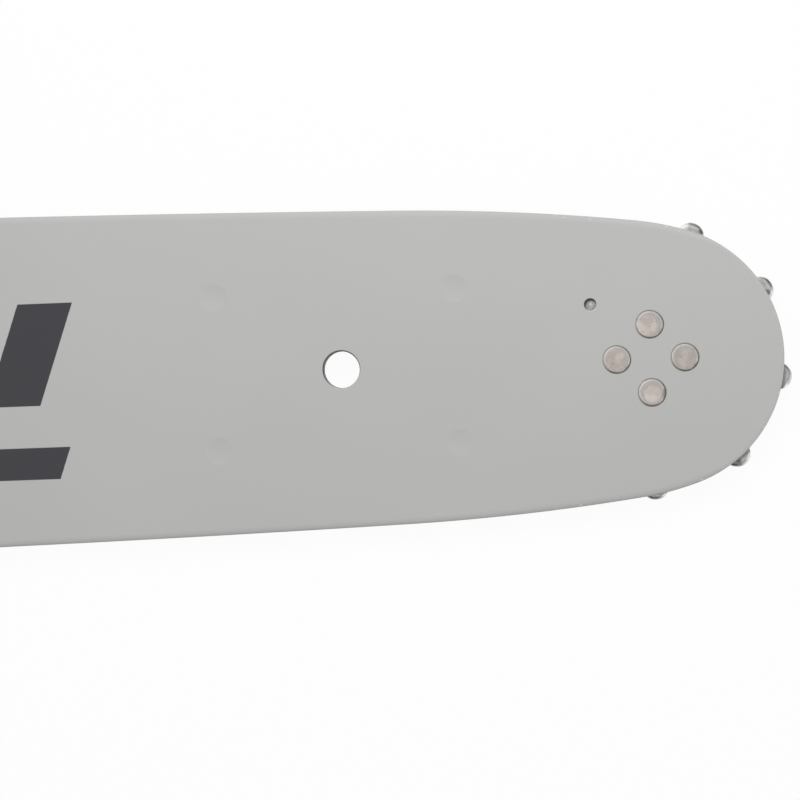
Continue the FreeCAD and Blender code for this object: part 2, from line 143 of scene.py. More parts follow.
def raise_outline(height):
    """Give a filled outline its thickness, with its faces outwards."""
    draw_line(0, 0, height)
    bpy.ops.mesh.select_all(action="SELECT")
    bpy.ops.mesh.normals_make_consistent(inside=False)


def pick(piece, kind, test):
    """In edit mode, select only the points, edges or faces that pass a test in millimetres."""
    bpy.ops.mesh.select_mode(type=kind)
    bpy.ops.mesh.select_all(action="DESELECT")
    mesh = bmesh.from_edit_mesh(piece.data)
    for item in {"VERT": mesh.verts, "EDGE": mesh.edges, "FACE": mesh.faces}[kind]:
        if all(test(point.co / MM) for point in ([item] if kind == "VERT" else item.verts)):
            item.select_set(True)
    bmesh.update_edit_mesh(piece.data)


def bevel_picked(width, steps):
    """Round off the picked edges."""
    bpy.ops.mesh.bevel(offset=width * MM, segments=steps, affect="EDGES")


def take_up(piece):
    """Make a piece the only selected one and the active one."""
    bpy.ops.object.select_all(action="DESELECT")
    piece.select_set(True)
    bpy.context.view_layer.objects.active = piece


def apply_modifier(piece, kind, **settings):
    """Put one modifier on a piece and apply it."""
    take_up(piece)
    modifier = piece.modifiers.new(kind, kind)
    for name, value in settings.items():
        setattr(modifier, name, value)
    bpy.ops.object.modifier_apply(modifier=modifier.name)


def cut_away(piece, tool):
    """Take a tool's volume out of a piece, and the tool with it."""
    apply_modifier(piece, "BOOLEAN", operation="DIFFERENCE", solver="EXACT", object=tool)
    bpy.data.objects.remove(tool)


def finish_shading(piece):
    """Smooth over the rounds, with the large flats kept flat."""
    take_up(piece)
    bpy.ops.object.shade_smooth_by_angle(angle=math.radians(SMOOTH_UP_TO))
    apply_modifier(piece, "WEIGHTED_NORMAL", weight=100, keep_sharp=True)


def round_punch(hole, foot, top):
    """Cylinder that punches a round hole."""
    x, y, radius = hole
    bpy.ops.object.select_all(action="DESELECT")
    sides = max(LEAST_HOLE_SIDES, int(HOLE_SIDES_PER_MM * radius))
    bpy.ops.mesh.primitive_cylinder_add(
        vertices=sides, radius=radius * MM, depth=(top - foot) * MM,
        location=(x * MM, y * MM, (foot + top) / 2 * MM))
    bpy.ops.object.transform_apply(location=True)
    return bpy.context.object


def turn_section(name, place, section, steps):
    """Turn a solid from its half section of radii and heights, from axis to axis."""
    piece = start_outline(name, place, section[0][1])
    for (radius, height), (next_radius, next_height) in zip(section, section[1:]):
        draw_line(next_radius - radius, 0, next_height - height)
    bpy.ops.mesh.select_all(action="SELECT")
    bpy.ops.mesh.spin(steps=steps, angle=2 * math.pi, axis=(0, 0, 1),
                      center=(place[0] * MM, place[1] * MM, 0))
    bpy.ops.mesh.select_all(action="SELECT")
    bpy.ops.mesh.remove_doubles(threshold=MERGE_DISTANCE)
    bpy.ops.mesh.normals_make_consistent(inside=False)
    bpy.ops.object.mode_set(mode="OBJECT")
    return piece


def draw_plate_outline():
    """Outline of the bar, drawn for one half from the nose's tip to the tail's end and mirrored."""
    piece = start_outline("side_plate", NOSE + polar(NOSE_RADIUS, 0), PLATE_FOOT)
    centre, radius, angle = NOSE, NOSE_RADIUS, 0.0
    chords = NOSE_CHORDS
    for next_radius, joint, next_chords in RAIL_ARCS:
        draw_arc(centre, joint - angle, chords)
        centre = centre + polar(radius - next_radius, joint)
        radius, angle, chords = next_radius, joint, next_chords
    joint = math.degrees(math.acos((LEAD_IN_START - centre.x) / radius))
    draw_arc(centre, joint - angle, chords)
    lead_radius, slope, lead_chords = LEAD_IN
    centre = centre + polar(radius - lead_radius, joint)
    draw_arc(centre, slope - joint, lead_chords)
    here = centre + polar(lead_radius, slope)
    out = polar(1, slope)
    corner_x = TAIL_END + TAIL_CORNER
    corner_y = centre.y + (lead_radius - TAIL_CORNER - (corner_x - centre.x) * out.x) / out.y
    corner = Vector((corner_x, corner_y))
    step = corner + TAIL_CORNER * out - here
    draw_line(step.x, step.y)
    draw_arc(corner, 180 - slope, CORNER_CHORDS)
    draw_line(0, -corner_y)
    bpy.ops.object.mode_set(mode="OBJECT")
    apply_modifier(piece, "MIRROR", use_axis=(False, True, False), merge_threshold=MERGE_DISTANCE)
    return piece


def on_face(point):
    """True for a point in the upper plate's outer face."""
    return point.z > BAR_HEIGHT - PLACE_SLACK


def narrow_nose_rim(plate):
    """Make the rim's rounding narrower and less deep round the nose, where more is ground off."""
    mesh = bmesh.from_edit_mesh(plate.data)
    for vert in mesh.verts:
        off = vert.co.xy / MM - NOSE
        angle = abs(math.degrees(math.atan2(off.y, off.x)))
        drop = BAR_HEIGHT - vert.co.z / MM
        inset = NOSE_RADIUS - off.length
        if angle > NOSE_ARC_TO or drop > RIM_DROP + PLACE_SLACK or inset > RIM_WIDTH + PLACE_SLACK:
            continue
        share = max(0.0, (angle - NOSE_RIM_TO) / (NOSE_ARC_TO - NOSE_RIM_TO))
        share = NOSE_RIM + (1 - NOSE_RIM) * share * share * (3 - 2 * share)
        place = NOSE + off.normalized() * (NOSE_RADIUS - inset * share)
        vert.co = Vector((*place, BAR_HEIGHT - drop * share)) * MM
    bmesh.update_edit_mesh(plate.data)


def make_slot_punch():
    """Long tool with round ends for the stud slot."""
    foot = PLATE_FOOT - CUT_MARGIN
    punch = start_outline("slot_punch", (SLOT_REACH, -SLOT_RADIUS), foot)
    draw_arc((SLOT_REACH, 0), 180, SLOT_CHORDS)
    draw_line(-2 * SLOT_REACH, 0)
    draw_arc((-SLOT_REACH, 0), 180, SLOT_CHORDS)
    close_outline()
    raise_outline(PLATE_HEIGHT + 2 * CUT_MARGIN)
    bpy.ops.object.mode_set(mode="OBJECT")
    return punch


def make_seat_punch(place):
    """Tool for a rivet's seat: a shank that flares at 45 degrees through the face."""
    cone_foot = BAR_HEIGHT - RIVET_FLARE
    punch = round_punch((place.x, place.y, SEAT_SHANK), PLATE_FOOT - CUT_MARGIN, cone_foot)
    cone = RIVET_FLARE + CUT_MARGIN
    bpy.ops.object.mode_set(mode="EDIT")
    pick(punch, "FACE", lambda point: point.z > cone_foot - CUT_MARGIN / 2)
    draw_line(0, 0, cone)
    widen = (SEAT_SHANK + cone) / SEAT_SHANK
    bpy.ops.transform.resize(value=(widen, widen, 1))
    bpy.ops.object.mode_set(mode="OBJECT")
    return punch


def make_dent_punch(place):
    """Tool with a shallow round end, which leaves a spot weld's dent in the face."""
    rings = [WELD_RADIUS * ring / WELD_RINGS for ring in range(WELD_RINGS + 1)]
    section = [(radius, BAR_HEIGHT - WELD_DEPTH * (1 - (radius / WELD_RADIUS) ** 2))
               for radius in rings]
    section += [(WELD_RADIUS, BAR_HEIGHT + CUT_MARGIN), (0.0, BAR_HEIGHT + CUT_MARGIN)]
    return turn_section("dent_punch", place, section, WELD_SIDES)


side_plate = draw_plate_outline()
bpy.ops.object.mode_set(mode="EDIT")
close_outline()
raise_outline(PLATE_HEIGHT)
pick(side_plate, "EDGE", on_face)
bevel_picked(RIM_WIDTH, RIM_STEPS)
pick(side_plate, "VERT", lambda point: point.z > BAR_HEIGHT - RIM_WIDTH - PLACE_SLACK)
bpy.ops.transform.resize(value=(1, 1, RIM_DROP / RIM_WIDTH),
                         center_override=(0, 0, BAR_HEIGHT * MM))
narrow_nose_rim(side_plate)
bpy.ops.object.mode_set(mode="OBJECT")
for hole in ROUND_HOLES:
    cut_away(side_plate, round_punch(hole, PLATE_FOOT - CUT_MARGIN, BAR_HEIGHT + CUT_MARGIN))
for place in RIVET_PLACES:
    cut_away(side_plate, make_seat_punch(place))
cut_away(side_plate, make_slot_punch())
for column in range(WELD_COLUMNS):
    for side in (-1, 1):
        weld = (WELD_START - column * WELD_PITCH, side * WELD_OFFSET)
        cut_away(side_plate, make_dent_punch(weld))
bpy.ops.object.mode_set(mode="EDIT")
for hole in ROUND_HOLES:
    pick(side_plate, "EDGE", lambda point: on_face(point)
         and abs((point.xy - Vector(hole[:2])).length - hole[2]) < 2 * PLACE_SLACK)
    bevel_picked(HANG_ROUND if hole == HANG_HOLE else MOUTH_ROUND, MOUTH_STEPS)
pick(side_plate, "EDGE", lambda point: on_face(point)
     and abs(point.y) < SLOT_RADIUS + 2 * PLACE_SLACK
     and abs(point.x) < SLOT_REACH + SLOT_RADIUS + 2 * PLACE_SLACK)
bevel_picked(MOUTH_ROUND, SLOT_MOUTH_STEPS)
bpy.ops.object.mode_set(mode="OBJECT")
finish_shading(side_plate)


# Light grey satin paint is sprayed on both faces, with a fine orange peel. It has small chips on
# the rim, most of them near the nose. Plain charcoal stripes are printed on it between the bar's
# middle and the nose. Painted shade lies round the rivets and in the holes, and the grease hole's
# mouth has painted shade on one side and a painted highlight on the other.

PAINT = (0.482, 0.482, 0.473, 1)
PAINT_SHADE = (0.473, 0.473, 0.465, 1)
INK = (0.046, 0.045, 0.052, 1)
CHIP_AND_HIGHLIGHT_STEEL = (0.74, 0.74, 0.73, 1)
PAINTED_SHADE_BROWN = (0.125, 0.118, 0.09, 1)
HOLE_SHADE_DARK = (0.06, 0.058, 0.055, 1)
# Painted shade on the hanging hole's mouth, a round patch whose middle lies a little
# above the hole's
HANG_MOUTH_SHADE = (277.1, 0.13, 3.3)
STRIPE_SLANT = 0.35
# Where each stripe starts along the bar, and its width
STRIPES = ((217.0, 9.5), (205.5, 8.0), (195.5, 6.5), (187.0, 5.0), (180.0, 3.5))
STRIPE_SIDES = (-4.3, 13.3)
UNDERLINE = (180.0, 234.0)
UNDERLINE_SIDES = (-17.0, -11.5)
PRINT_EDGE = 0.06
# How steep a face is where the rim chips and where a hole's wall begins: 0 is flat and 1 upright
CHIPPED_SLOPE = (0.03, 0.2)
WALL_SLOPE = (0.2, 0.75)
# Stretch along the bar over which chips grow common
CHIPPED_FROM = (290.0, 315.0)
# Painted shade round each rivet: how far it reaches, and the way towards which it is strongest
RIVET_SHADE_REACH = 2.56
RIVET_SHADE_TOWARD = (0.23, -0.37, 0)
# Side of the grease hole's mouth that gets painted shade. The other side gets a painted highlight.
SHADED_MOUTH_SIDE = (-0.35, 0.94, 0)
# Way in which the holes' walls with the most painted shade face
SHADED_WALL_SIDE = (0.55, -0.83, 0)


class Reading:
    """Socket whose value varies over a surface. Arithmetic on readings adds Math nodes."""

    def __init__(self, recipe, socket):
        self.recipe = recipe
        self.socket = socket

    def join(self, operation, first, second=0.0):
        """Reading that a Math node makes of two values."""
        return self.recipe.node("ShaderNodeMath", {"operation": operation}, {0: first, 1: second})

    def __add__(self, other):
        return self.join("ADD", self, other)

    def __radd__(self, other):
        return self.join("ADD", other, self)

    def __sub__(self, other):
        return self.join("SUBTRACT", self, other)

    def __rsub__(self, other):
        return self.join("SUBTRACT", other, self)

    def __mul__(self, other):
        return self.join("MULTIPLY", self, other)

    def __rmul__(self, other):
        return self.join("MULTIPLY", other, self)

    def __abs__(self):
        return self.join("ABSOLUTE", self)


class Recipe:
    """The nodes of one finish, with the places on the object that they read, in millimetres."""

    def __init__(self, owner):
        owner.use_nodes = True
        self.owner = owner
        self.tree = owner.node_tree
        self.shader = self.tree.nodes.get("Principled BSDF")
        self.place = None

    def node(self, kind, settings, sockets, out=0):
        """Add a node, set it up, fill or link its sockets, and give one of its outputs."""
        node = self.tree.nodes.new(kind)
        for name, value in settings.items():
            setattr(node, name, value)
        for name, value in sockets.items():
            if isinstance(value, Reading):
                self.tree.links.new(value.socket, node.inputs[name])
            else:
                node.inputs[name].default_value = value
        return Reading(self, node.outputs[out])

    def vector(self, operation, first, second, out=0):
        """Reading that a Vector Math node makes of two vectors."""
        settings = {"operation": operation}
        return self.node("ShaderNodeVectorMath", settings, {0: first, 1: second}, out)

    def noise(self, feature, stretch=(1, 1, 1), detail=2.0, roughness=0.5, shift=(0, 0, 0)):
        """Noise from 0 to 1 whose patches are about one feature across."""
        scaled = self.vector("MULTIPLY", self.vector("ADD", self.place, shift),
                             tuple(part / feature for part in stretch))
        sockets = {"Vector": scaled, "Scale": 1.0, "Detail": detail, "Roughness": roughness}
        return self.node("ShaderNodeTexNoise", {}, sockets, out="Fac")

    def rise(self, value, low, high, floor=0.0, top=1.0):
        """Smooth step that runs from a floor to a top as a value goes from low to high."""
        sockets = {"Value": value, "From Min": low, "From Max": high,
                   "To Min": floor, "To Max": top}
        return self.node("ShaderNodeMapRange", {"interpolation_type": "SMOOTHSTEP"}, sockets)

    def between(self, value, low, high, soft):
        """Mask that is 1 from low to high, with soft ends."""
        inside = self.rise(value, low - soft, low + soft)
        return inside * self.rise(value, high - soft, high + soft, 1.0, 0.0)

    def blend(self, factor, first, second):
        """Colour between two colours."""
        sockets = {0: factor, 6: first, 7: second}
        return self.node("ShaderNodeMix", {"data_type": "RGBA"}, sockets, out=2)

    def away(self, x, y):
        """Distance from an upright line."""
        flat = self.vector("MULTIPLY", self.place, (1, 1, 0))
        return self.vector("DISTANCE", flat, (x, y, 0), out="Value")

    def rivet_shade_share(self, place):
        """Share of the painted shade round a rivet, most of it on one side of the head."""
        off = self.vector("SUBTRACT", self.place, (place.x, place.y, 0))
        ahead = self.vector("DOT_PRODUCT", off, RIVET_SHADE_TOWARD, out="Value")
        return self.rise(ahead, -0.7, 0.9, 0.25, 1.05) * (0.7 + 0.45 * self.noise(1.3, detail=1.0))

    def facing(self, direction):
        """How far a surface faces a direction, from -1 to 1."""
        normal = self.node("ShaderNodeTexCoord", {}, {}, out="Normal")
        return self.vector("DOT_PRODUCT", normal, direction, out="Value")

    def spot(self, place, reach, soft, strength):
        """Round mark about a place, with a soft edge."""
        return self.rise(self.away(*place), reach - soft, reach, strength, 0.0)

    def part(self, axis):
        """One part of the place on the object: X, Y or Z."""
        return self.node("ShaderNodeSeparateXYZ", {}, {0: self.place}, out=axis)


def new_finish(name, fixed):
    """Start a material: its recipe, its shader's fixed settings, and the places that it reads."""
    recipe = Recipe(bpy.data.materials.new(name))
    for socket, value in fixed.items():
        recipe.shader.inputs[socket].default_value = value
    metres = recipe.node("ShaderNodeTexCoord", {}, {}, out="Object")
    recipe.place = recipe.vector("MULTIPLY", metres, (1 / MM, 1 / MM, 1 / MM))
    return recipe


def feed(recipe, colour, roughness, relief, depth):
    """Link a finish's colour, roughness and relief, whose depth is in millimetres."""
    bump = recipe.node("ShaderNodeBump", {}, {"Height": relief, "Distance": depth * MM})
    for name, reading in (("Base Color", colour), ("Roughness", roughness), ("Normal", bump)):
        recipe.tree.links.new(reading.socket, recipe.shader.inputs[name])


def mix_plate_paint():
    """Grey paint with stripes and chips, and painted shade and highlight round rivets and holes."""
    paint = new_finish("plate_paint", {"Specular IOR Level": 0.4})
    cloud = paint.noise(28.0, detail=3.0)
    peel = paint.noise(0.55, detail=1.0)
    x, y = paint.part("X"), paint.part("Y")

    slanted = x - STRIPE_SLANT * y
    ragged = slanted + 0.12 * paint.noise(0.6)
    printed = 0.0
    for start, width in STRIPES:
        printed = printed + paint.between(ragged, start, start + width, PRINT_EDGE)
    printed = printed * paint.between(y, *STRIPE_SIDES, PRINT_EDGE)
    under = paint.between(ragged, *UNDERLINE, PRINT_EDGE)
    printed = printed + under * paint.between(y, *UNDERLINE_SIDES, PRINT_EDGE)

    # Painted shade round each rivet's seat, strongest on one side
    crevice_shade = 0.0
    for place in RIVET_PLACES:
        crevice_shade = crevice_shade + paint.spot(place, RIVET_SHADE_REACH, 0.14, 1.0) * paint.rivet_shade_share(place)
    # Painted shade on one side of the grease hole's mouth and a painted highlight on the other
    x_grease, y_grease, mouth = GREASE_HOLE
    past = paint.vector("DOT_PRODUCT", paint.place, SHADED_MOUTH_SIDE, out="Value")
    past = past - (SHADED_MOUTH_SIDE[1] * y_grease + SHADED_MOUTH_SIDE[0] * x_grease)
    mouth_shade = paint.rise(paint.away(x_grease, y_grease), mouth + 0.04, mouth + 0.14, 1.0, 0.0)
    mouth_highlight = mouth_shade * paint.rise(past, -0.9, -0.1, 1.0, 0.0)
    mouth_shade = mouth_shade * paint.rise(past, -0.2, 0.9)
    slope = 1.0 - abs(paint.facing((0, 0, 1)))
    chips = paint.between(slope, *CHIPPED_SLOPE, 0.01)
    chips = chips * paint.rise(paint.noise(0.75, detail=1.0), 0.65, 0.73)
    chips = chips * paint.rise(x, *CHIPPED_FROM, 0.12, 1.0)
    # Painted shade on the holes' walls, most on those that face one way
    wall = paint.rise(slope, *WALL_SLOPE)
    wall = wall * paint.rise(paint.facing(SHADED_WALL_SIDE), -0.4, 0.2, 0.3, 0.95)

    colour = paint.blend(paint.rise(cloud, 0.3, 0.7), PAINT_SHADE, PAINT)
    colour = paint.blend(printed, colour, INK)
    colour = paint.blend(0.55 * chips + 0.7 * mouth_highlight, colour, CHIP_AND_HIGHLIGHT_STEEL)
    colour = paint.blend(crevice_shade + 0.8 * mouth_shade, colour, PAINTED_SHADE_BROWN)
    colour = paint.blend(wall, colour, HOLE_SHADE_DARK)
    # Painted shade on the top of the hanging hole's mouth
    hang_shade_mask = paint.spot(HANG_MOUTH_SHADE[:2], HANG_MOUTH_SHADE[2], 0.12, 0.8)
    colour = paint.blend(hang_shade_mask, colour, HOLE_SHADE_DARK)
    rough = 0.38 + 0.08 * cloud + 0.12 * printed - 0.15 * chips + 0.4 * wall
    feed(paint, colour, rough, peel - 0.8 * chips, 0.008)
    return paint.owner


plate_paint = mix_plate_paint()

# The rails' edges and the plates' insides are bare steel. The edges are ground along the bar, which
# leaves long fine lines, and the insides keep the grey skin of rolled sheet.

# The holes' walls aren't ground: they lie between these ends, within this far of the bar's axis,
# and nearer to it round the rivets
HOLES_FROM = -42.0
HOLES_TO = 345.0
HOLES_WITHIN = 19.9
RIVETS_FROM = 327.0
RIVETS_WITHIN = 12.0
# Dark and light tone of each steel
EDGE_TONES = ((0.42, 0.415, 0.41, 1), (0.74, 0.73, 0.72, 1))
INSIDE_TONES = ((0.26, 0.26, 0.26, 1), (0.4, 0.4, 0.395, 1))


def mix_ground_steel():
    """Bright steel with long fine grinding lines."""
    steel = new_finish("rail_edge_steel", {"Metallic": 1.0})
    lines = steel.noise(0.9, stretch=(0.06, 0.06, 9.0), detail=4.0, roughness=0.7)
    cloud = steel.noise(7.0, detail=2.0)
    colour = steel.blend(lines, *EDGE_TONES)
    feed(steel, colour, 0.24 + 0.16 * lines + 0.08 * cloud, lines, 0.02)
    return steel.owner


def mix_rolled_steel(name, dark, light):
    """Dull steel with a fine grain along the bar."""
    steel = new_finish(name, {"Metallic": 1.0})
    grain = steel.noise(0.35, stretch=(0.15, 1.0, 1.0), detail=3.0, roughness=0.6)
    cloud = steel.noise(9.0, detail=3.0)
    colour = steel.blend(steel.rise(0.6 * cloud + 0.4 * grain, 0.3, 0.7), dark, light)
    feed(steel, colour, 0.36 + 0.18 * grain, grain, 0.012)
    return steel.owner


rail_edge_steel = mix_ground_steel()
plate_inside = mix_rolled_steel("plate_inside_steel", *INSIDE_TONES)


def is_rail_edge(face):
    """True on the wall round the whole plate, and not in its holes."""
    centre = face.calc_center_median() / MM
    within = HOLES_WITHIN if centre.x < RIVETS_FROM else RIVETS_WITHIN
    among_holes = HOLES_FROM < centre.x < HOLES_TO and abs(centre.y) < within
    return abs(face.normal.z) < 0.3 and not among_holes


def is_inside(face):
    """True on the side that lies on the core plate."""
    return face.normal.z < -0.9


for finish in (plate_paint, rail_edge_steel, plate_inside):
    side_plate.data.materials.append(finish)
take_up(side_plate)
bpy.ops.object.mode_set(mode="EDIT")
bpy.ops.mesh.select_mode(type="FACE")
for slot_number, belongs in ((1, is_rail_edge), (2, is_inside)):
    bpy.ops.mesh.select_all(action="DESELECT")
    plate_mesh = bmesh.from_edit_mesh(side_plate.data)
    for face in plate_mesh.faces:
        face.select_set(belongs(face))
    bmesh.update_edit_mesh(side_plate.data)
    side_plate.active_material_index = slot_number
    bpy.ops.object.material_slot_assign()
bpy.ops.object.mode_set(mode="OBJECT")

# The lower plate is the upper one's mirror image
side_plate.name = "upper_plate"
lower_plate = side_plate.copy()
lower_plate.data = side_plate.data.copy()
lower_plate.name = "lower_plate"
bpy.context.collection.objects.link(lower_plate)
take_up(lower_plate)
bpy.ops.object.mode_set(mode="EDIT")
bpy.ops.mesh.select_all(action="SELECT")
bpy.ops.transform.resize(value=(1, 1, -1), center_override=(0, 0, BAR_HEIGHT / 2 * MM))
bpy.ops.mesh.normals_make_consistent(inside=False)
bpy.ops.object.mode_set(mode="OBJECT")
finish_shading(lower_plate)
for plate, node in ((side_plate, "side_plate_upper"), (lower_plate, "side_plate_lower")):
    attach(plate, "bar")
    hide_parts(node)

# Core plate
# The middle plate is cut from 1.3 mm rolled sheet and left bare. It is seen only in the chain
# groove and in the holes, so the node's own shape stays and takes a darker steel.

CORE_TONES = ((0.1, 0.1, 0.1, 1), (0.24, 0.235, 0.23, 1))


def coat_node(node, finish):
    """Give a CAD node one finish."""
    node.data.materials.clear()
    node.data.materials.append(finish)


coat_node(cad_nodes["core_plate"], mix_rolled_steel("core_steel", *CORE_TONES))

# Nose bearing
# An inner ring and a full ring of needle rollers are ground from bearing steel and packed with
# grease. They are sealed in the nose, so the nodes' own shapes stay.

GROUND_RING = (0.62, 0.62, 0.63, 1)
GREASE = (0.4, 0.34, 0.24, 1)


def mix_bearing_steel():
    """Ground steel with patches of grease."""
    steel = new_finish("bearing_steel", {"Metallic": 1.0})
    grease = steel.noise(1.6, detail=2.0)
    turned = steel.noise(0.3, detail=3.0)
    colour = steel.blend(steel.rise(grease, 0.45, 0.7), GROUND_RING, GREASE)
    feed(steel, colour, 0.16 + 0.2 * turned, turned, 0.004)
    return steel.owner


bearing_steel = mix_bearing_steel()
for name, node in cad_nodes.items():
    if name == "bearing_race" or name.startswith("roller_"):
        coat_node(node, bearing_steel)

# Nose sprocket
# A nine-tooth wheel stamped from 1.2 mm hardened steel, with round tips and round gullets. It is
# tumbled bright after stamping, which rounds its rims, and it turns on the needle rollers.

TEETH = 9
TOOTH_PITCH = 360 / TEETH
TOOTH_PHASE = -10.0
TIP_RADIUS = 2.3
TIP_RING = 21.9
TIP_CHORDS = 28
ROOT_RADIUS = 16.7
GULLET_CHORDS = 22
WHEEL_FOOT = 1.46
WHEEL_HEIGHT = 1.18
WHEEL_BORE = 12.06
# The rims are rounded on a thicker blank, which is then pressed down to the wheel's height
WHEEL_BLANK = 1.5
WHEEL_ROUND = 0.7
WHEEL_ROUND_STEPS = 7
# Painted shadow of the rail's edge lies in a ring that ends near the rail, and most of it
# on this side, towards which the flats are also darker
RAIL_SHADOW_TO = 22.72
RAIL_SHADOW_WIDTH = 1.3
DARKER_SIDE = (0.42, -0.91, 0)
WHEEL_DARK = (0.1, 0.097, 0.093, 1)
# Painted highlights and painted shade on the teeth, each with its angle, its distance from
# the nose centre and its reach
TOOTH_HIGHLIGHTS = ((75.8, 23.3, 1.9), (35.4, 23.2, 0.9), (-14.6, 23.9, 0.9), (-47.5, 24.3, 0.8))
TOOTH_SHADES = ((66.0, 23.3, 0.75), (-51.6, 23.15, 0.65), (27.5, 22.8, 0.7))
TOOTH_HIGHLIGHT_WHITE = (0.97, 0.96, 0.95, 1)
WHEEL_TONES = ((0.44, 0.44, 0.44, 1), (0.78, 0.775, 0.77, 1))
# Under the grease hole the wheel gets a ring of painted shadow round a patch that is left
# unshaded, with a painted glint in it. Both are told by their shift from the hole's middle and
# their reach.
UNSHADED_PATCH = (0.1, -0.26, 0.93)
GLINT_PATCH = (0.05, 0.12, 0.16)
GLINT = (1, 1, 1, 1)


def make_sprocket():
    """Wheel with its outline drawn tooth by tooth. Each gullet is an arc that touches two tips."""
    across = TIP_RING * math.cos(math.radians(TOOTH_PITCH / 2))
    over = TIP_RING ** 2 + ROOT_RADIUS ** 2 - 2 * ROOT_RADIUS * across - TIP_RADIUS ** 2
    gullet = over / (2 * (across + TIP_RADIUS - ROOT_RADIUS))
    hollow = polar(ROOT_RADIUS + gullet, TOOTH_PITCH / 2)
    lean = math.degrees(math.atan2(hollow.y, hollow.x - TIP_RING))
    first = NOSE + polar(TIP_RING, TOOTH_PHASE) + polar(TIP_RADIUS, TOOTH_PHASE - lean)
    wheel = start_outline("nose_wheel", first, WHEEL_FOOT)
    for tooth in range(TEETH):
        turn = TOOTH_PHASE + tooth * TOOTH_PITCH
        draw_arc(NOSE + polar(TIP_RING, turn), 2 * lean, TIP_CHORDS)
        gullet_centre = NOSE + polar(ROOT_RADIUS + gullet, turn + TOOTH_PITCH / 2)
        draw_arc(gullet_centre, TOOTH_PITCH - 2 * lean, GULLET_CHORDS)
    close_outline()
    raise_outline(WHEEL_BLANK)
    pick(wheel, "EDGE", lambda point: point.z > WHEEL_FOOT + WHEEL_BLANK - PLACE_SLACK)
    bevel_picked(WHEEL_ROUND, WHEEL_ROUND_STEPS)
    pick(wheel, "EDGE", lambda point: point.z < WHEEL_FOOT + PLACE_SLACK)
    bevel_picked(WHEEL_ROUND, WHEEL_ROUND_STEPS)
    bpy.ops.mesh.select_all(action="SELECT")
    bpy.ops.transform.resize(value=(1, 1, WHEEL_HEIGHT / WHEEL_BLANK),
                             center_override=(0, 0, WHEEL_FOOT * MM))
    bpy.ops.object.mode_set(mode="OBJECT")
    top = WHEEL_FOOT + WHEEL_HEIGHT
    cut_away(wheel, round_punch((*NOSE, WHEEL_BORE), WHEEL_FOOT - CUT_MARGIN, top + CUT_MARGIN))
    finish_shading(wheel)
    return wheel


def mix_sprocket_steel():
    """Tumbled steel with faint rings, a darker side, and painted shadow, shade and highlights."""
    steel = new_finish("sprocket_steel", {"Metallic": 1.0})
    turned = steel.away(NOSE.x, NOSE.y)
    off = steel.vector("SUBTRACT", steel.place, (*NOSE, 0))
    low_side = steel.vector("DOT_PRODUCT", off, DARKER_SIDE, out="Value") * (1 / TIP_RING)
    streaks = steel.noise(0.5, detail=4.0, roughness=0.65)
    rings = steel.node("ShaderNodeTexNoise", {"noise_dimensions": "1D"},
                       {"W": turned * 2.2, "Scale": 1.0, "Detail": 3.0}, out="Fac")
    cloud = steel.noise(1.8, detail=2.0)
    tone = 0.3 * streaks + 0.5 * rings + 0.2 * cloud
    colour = steel.blend(steel.rise(tone, 0.35, 0.65), *WHEEL_TONES)
    level = steel.rise(abs(steel.facing((0, 0, 1))), 0.8, 0.98)
    # Flats darker towards one side
    darker_flats = steel.rise(low_side, -0.3, 0.9, 0.0, 0.25) * (0.2 + 0.8 * rings) * level
    colour = steel.blend(darker_flats, colour, WHEEL_DARK)
    # Painted shadow of the rail's edge on the teeth, most of it on one side
    rail_shadow_edge = turned - 0.55 * low_side + 0.7 * cloud - 0.35
    rail_shadow = steel.between(rail_shadow_edge, RAIL_SHADOW_TO - RAIL_SHADOW_WIDTH, RAIL_SHADOW_TO, 0.2)
    rail_shadow = rail_shadow * steel.rise(low_side, -0.2, 1.0, 0.33, 0.43)
    x_grease, y_grease, _ = GREASE_HOLE
    # Painted shadow under the grease hole, round an unshaded patch with a painted glint
    from_unshaded = steel.away(x_grease + UNSHADED_PATCH[0], y_grease + UNSHADED_PATCH[1])
    hole_shadow = 0.75 * steel.between(from_unshaded, UNSHADED_PATCH[2], UNSHADED_PATCH[2] + 0.7, 0.14)
    hole_shadow = hole_shadow + steel.spot((x_grease, y_grease), 1.5, 0.1, 0.13)
    glint = (x_grease + GLINT_PATCH[0], y_grease + GLINT_PATCH[1])
    glint = steel.spot(glint, GLINT_PATCH[2] + 0.25, 0.25, 0.6)
    colour = steel.blend(rail_shadow, colour, WHEEL_DARK)
    colour = steel.blend(hole_shadow, colour, WHEEL_DARK)
    colour = steel.blend(glint, colour, GLINT)
    # Painted shade and painted highlights on the teeth
    for marks, soft, strength, tint in ((TOOTH_SHADES, 0.5, 0.65, WHEEL_DARK), (TOOTH_HIGHLIGHTS, 0.7, 0.9, TOOTH_HIGHLIGHT_WHITE)):
        for angle, distance, reach in marks:
            mark = steel.spot(NOSE + polar(distance, angle), reach, soft, strength)
            colour = steel.blend(mark, colour, tint)
    feed(steel, colour, 0.26 + 0.26 * streaks, 0.6 * rings + 0.4 * streaks, 0.02)
    return steel.owner


nose_wheel = make_sprocket()
nose_wheel.data.materials.append(mix_sprocket_steel())
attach(nose_wheel, "sprocket")
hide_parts("nose_sprocket")

# Nose rivets
# Four steel rivets clamp the plates on the bearing's inner ring. Both ends are pressed out into the
# seats and ground flush with the faces. Each head keeps a grey skin round a flat that is ground
# bare, with a painted highlight on its rim and painted shade where the paint ends.

RIVET_SHANK = 2.0
RIVET_STEPS = 64
# Half section of a head from its middle outwards: radius, and depth under the face
HEAD_SECTION = ((1.45, 0.0), (1.9, 0.006), (2.12, 0.022), (2.24, 0.06), (2.285, 0.1))
